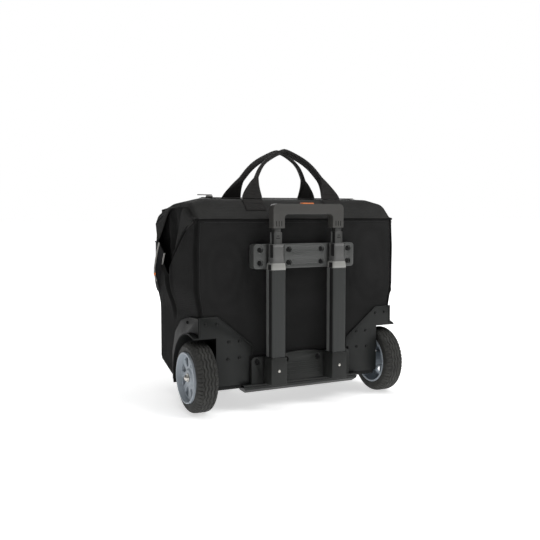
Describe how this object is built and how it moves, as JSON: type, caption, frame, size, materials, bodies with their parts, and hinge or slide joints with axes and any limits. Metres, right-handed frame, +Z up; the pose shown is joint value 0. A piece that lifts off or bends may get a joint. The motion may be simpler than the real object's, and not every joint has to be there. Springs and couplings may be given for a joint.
{
  "type": "rolling tool bag",
  "caption": "Black wheeled tool bag with a zip-edged lid, twin webbing carry handles, moulded corner guards and a two-stage telescoping trolley handle.",
  "frame": {"origin": "middle of the bounding box at floor level, with the bag standing on its wheels and front feet", "axes": "+Z up, +Y towards the trolley handle at the back, -Y towards the front pocket, +X towards the end with the small pocket"},
  "size_m": [0.5236, 0.3409, 0.572],
  "materials": {
    "canvas": "woven nylon canvas, matt black",
    "lining": "grey lining",
    "webbing": "black nylon webbing",
    "plastic": "satin moulded black",
    "gloss": "polished dark grey",
    "grip": "fine-textured dark grey",
    "button": "orange",
    "rim": "light blue-grey moulded",
    "tyre": "black rubber with zigzag grooves",
    "rubber": "black",
    "steel": "zinc-plated",
    "aluminium": "black anodised",
    "board": "matt black board"
  },
  "bodies": {
    "bag": {"base_tray": "plastic", "floor_board": "board", "back_panel": "canvas", "front_panel": "canvas", "end_panel_left": "canvas", "end_panel_right": "canvas", "gusset_left": "canvas", "gusset_right": "canvas", "rear_shoulder": "canvas", "rear_hem_rod": "steel", "zip_tape_rear": "webbing", "tool_divider": "lining", "front_pocket": "canvas", "end_pocket": "canvas", "side_tab": "webbing", "corner_guard_left": "plastic", "corner_guard_right": "plastic", "front_foot_left": "plastic", "front_foot_right": "plastic", "foot_pad_left": "rubber", "foot_pad_right": "rubber", "axle": "steel", "axle_nut_left": "steel", "axle_nut_right": "steel", "upper_bracket": "plastic", "lower_bracket": "plastic", "outer_tube_left": "aluminium", "outer_tube_right": "aluminium", "collar_left": "gloss", "collar_right": "gloss", "tube_foot_left": "plastic", "tube_foot_right": "plastic", "rear_handle_tab_left": "webbing", "rear_handle_tab_right": "webbing"},
    "wheel_left": {"tyre_left": "tyre", "rim_left": "rim", "hub_bush_left": "plastic"},
    "wheel_right": {"tyre_right": "tyre", "rim_right": "rim", "hub_bush_right": "plastic"},
    "trolley_mid": {"mid_tube_left": "aluminium", "mid_tube_right": "aluminium", "mid_bush_left": "plastic", "mid_bush_right": "plastic"},
    "trolley_grip": {"grip": "grip", "inner_tube_left": "aluminium", "inner_tube_right": "aluminium", "lock_plug_left": "plastic", "lock_plug_right": "plastic"},
    "button": {"release_button": "button"},
    "lid": {"lid": "canvas", "lid_hem_rod": "steel", "zip_tape_lid": "webbing", "lid_handle_tab_left": "webbing", "lid_handle_tab_right": "webbing"},
    "rear_carry_handle": {"rear_handle": "webbing"},
    "front_carry_handle": {"front_handle": "webbing"},
    "slider": {"zip_slider": "steel"},
    "pull": {"zip_pull": "steel"},
    "flap": {"pocket_flap": "canvas"}
  },
  "joints": [
    {"name": "wheel_left_spin", "type": "hinge", "parent": "bag", "child": "wheel_left", "pos_m": [0.2333, 0.091, 0.076], "axis": [1, 0, 0], "continuous": true},
    {"name": "wheel_right_spin", "type": "hinge", "parent": "bag", "child": "wheel_right", "pos_m": [-0.2333, 0.091, 0.076], "axis": [1, 0, 0], "continuous": true},
    {"name": "trolley_lower_slide", "type": "slide", "parent": "bag", "child": "trolley_mid", "axis": [0, 0, 1], "range_m": [0, 0.225]},
    {"name": "trolley_upper_slide", "type": "slide", "parent": "trolley_mid", "child": "trolley_grip", "axis": [0, 0, 1], "range_m": [0, 0.245]},
    {"name": "button_press", "type": "slide", "parent": "trolley_grip", "child": "button", "axis": [0, 0, -1], "range_m": [0, 0.004], "stiffness_N_per_m": 600, "springref_m": -0.003},
    {"name": "lid_hinge", "type": "hinge", "parent": "bag", "child": "lid", "pos_m": [0, -0.137, 0.426], "axis": [1, 0, 0], "range_deg": [0, 95]},
    {"name": "rear_handle_hinge", "type": "hinge", "parent": "bag", "child": "rear_carry_handle", "pos_m": [0, 0.089, 0.4553], "axis": [-1, 0, 0], "range_deg": [0, 35]},
    {"name": "front_handle_hinge", "type": "hinge", "parent": "lid", "child": "front_carry_handle", "pos_m": [0, -0.029, 0.4553], "axis": [1, 0, 0], "range_deg": [0, 94]},
    {"name": "zip_slide", "type": "slide", "parent": "bag", "child": "slider", "axis": [-1, 0, 0], "range_m": [0, 0.358]},
    {"name": "zip_pull_hinge", "type": "hinge", "parent": "slider", "child": "pull", "pos_m": [0.1732, 0.0345, 0.4654], "axis": [0, -1, 0], "range_deg": [0, 150]},
    {"name": "pocket_flap_hinge", "type": "hinge", "parent": "bag", "child": "flap", "pos_m": [0, -0.1373, 0.346], "axis": [-1, 0, 0], "range_deg": [0, 100]}
  ]
}
